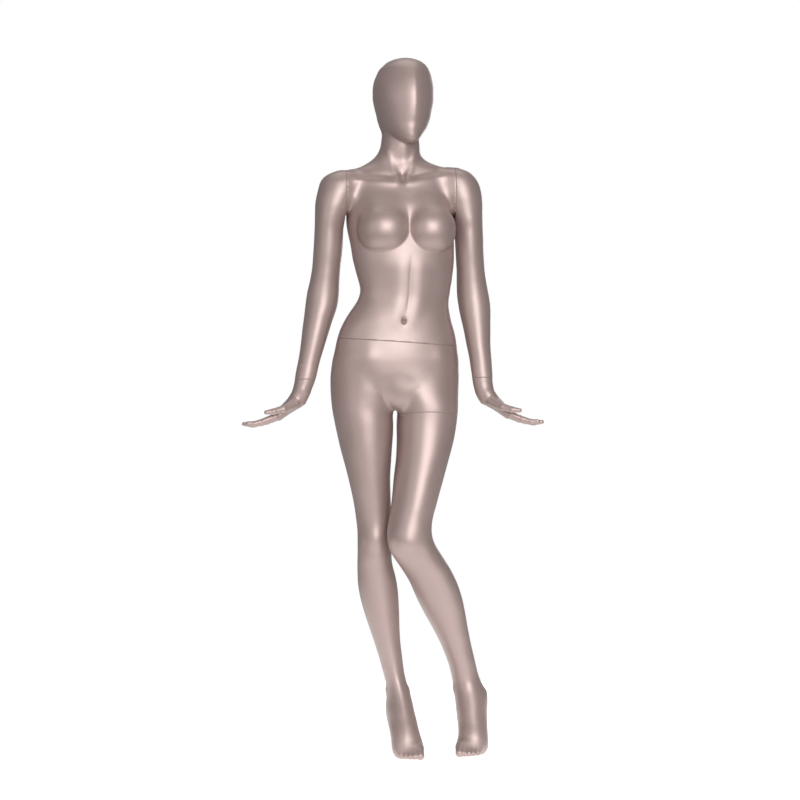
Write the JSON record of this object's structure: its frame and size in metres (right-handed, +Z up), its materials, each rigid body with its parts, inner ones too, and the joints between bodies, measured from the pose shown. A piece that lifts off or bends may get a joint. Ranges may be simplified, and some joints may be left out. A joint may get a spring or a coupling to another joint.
{
  "type": "full body mannequin",
  "caption": "Life-size female display mannequin with a faceless head, standing on tiptoe with one knee bent in, hollow castings that part at waist, shoulders, wrists and thigh.",
  "frame": {"origin": "on the floor, under the middle of the figure's bounding box", "axes": "+Z up, the figure faces -Y, +X towards its left hand"},
  "size_m": [0.7776, 0.2556, 1.8],
  "materials": {
    "lacquer": "pearl rose-taupe metallic satin lacquer on fibreglass",
    "board": "raw wood board",
    "steel": "zinc-plated turned steel",
    "nylon": "natural nylon",
    "magnet": "nickel-plated magnet",
    "screw": "zinc-plated screw"
  },
  "bodies": {
    "lower_body": {"lower_body_shell": "lacquer", "waist_lower_disc": "board", "waist_post": "steel", "waist_post_screws": "screw", "hip_disc": "board", "leg_socket": "steel", "leg_socket_screws": "screw", "hip_magnets": "magnet", "foot_spigot_tube": "steel"},
    "waist_sleeve": {"waist_swivel_sleeve": "nylon"},
    "torso": {"torso_shell": "lacquer", "waist_upper_disc": "board", "waist_socket": "steel", "waist_socket_screws": "screw", "shoulder_disc_r": "board", "shoulder_socket_r": "steel", "shoulder_socket_screws_r": "screw", "shoulder_magnets_r": "magnet", "shoulder_disc_l": "board", "shoulder_socket_l": "steel", "shoulder_socket_screws_l": "screw", "shoulder_magnets_l": "magnet"},
    "bush_r": {"shoulder_bush_r": "nylon"},
    "bush_l": {"shoulder_bush_l": "nylon"},
    "arm_r": {"arm_shell_r": "lacquer", "arm_top_disc_r": "board", "arm_peg_r": "steel", "arm_peg_screws_r": "screw", "arm_magnets_r": "magnet", "wrist_disc_r": "board", "wrist_socket_r": "steel"},
    "arm_l": {"arm_shell_l": "lacquer", "arm_top_disc_l": "board", "arm_peg_l": "steel", "arm_peg_screws_l": "screw", "arm_magnets_l": "magnet", "wrist_disc_l": "board", "wrist_socket_l": "steel"},
    "wrist_sleeve_r": {"wrist_bush_r": "nylon"},
    "wrist_sleeve_l": {"wrist_bush_l": "nylon"},
    "right_hand": {"hand_r": "lacquer", "hand_peg_r": "steel"},
    "left_hand": {"hand_l": "lacquer", "hand_peg_l": "steel"},
    "left_leg": {"left_leg_shell": "lacquer", "leg_top_disc": "board", "leg_peg": "steel", "leg_peg_screws": "screw", "leg_locating_pin": "steel", "leg_magnets": "magnet"}
  },
  "joints": [
    {"name": "waist_turn", "type": "hinge", "parent": "lower_body", "child": "waist_sleeve", "pos_m": [0.015, 0, 1.065], "axis": [0.0645, 0, 0.9979], "range_deg": [-45, 45]},
    {"name": "torso_lift", "type": "slide", "parent": "waist_sleeve", "child": "torso", "axis": [0.0645, 0, 0.9979], "range_m": [0, 0.12]},
    {"name": "shoulder_turn_r", "type": "hinge", "parent": "torso", "child": "bush_r", "pos_m": [-0.121, -0.016, 1.443], "axis": [-0.9781, -0.2079, 0], "range_deg": [-40, 100]},
    {"name": "arm_pull_r", "type": "slide", "parent": "bush_r", "child": "arm_r", "axis": [-0.9781, -0.2079, 0], "range_m": [0, 0.06]},
    {"name": "shoulder_turn_l", "type": "hinge", "parent": "torso", "child": "bush_l", "pos_m": [0.165, 0.02, 1.459], "axis": [-0.9976, -0.0698, 0], "range_deg": [-40, 100]},
    {"name": "arm_pull_l", "type": "slide", "parent": "bush_l", "child": "arm_l", "axis": [0.9976, 0.0698, 0], "range_m": [0, 0.06]},
    {"name": "wrist_turn_r", "type": "hinge", "parent": "arm_r", "child": "wrist_sleeve_r", "pos_m": [-0.223, -0.04, 0.969], "axis": [0, 0, -1], "range_deg": [-80, 80]},
    {"name": "hand_pull_r", "type": "slide", "parent": "wrist_sleeve_r", "child": "right_hand", "axis": [0, 0, -1], "range_m": [0, 0.04]},
    {"name": "wrist_turn_l", "type": "hinge", "parent": "arm_l", "child": "wrist_sleeve_l", "pos_m": [0.238, -0.004, 0.974], "axis": [0, 0, -1], "range_deg": [-80, 80]},
    {"name": "hand_pull_l", "type": "slide", "parent": "wrist_sleeve_l", "child": "left_hand", "axis": [0, 0, -1], "range_m": [0, 0.04]},
    {"name": "leg_pull", "type": "slide", "parent": "lower_body", "child": "left_leg", "axis": [0, -0.1045, -0.9945], "range_m": [0, 0.09]}
  ]
}
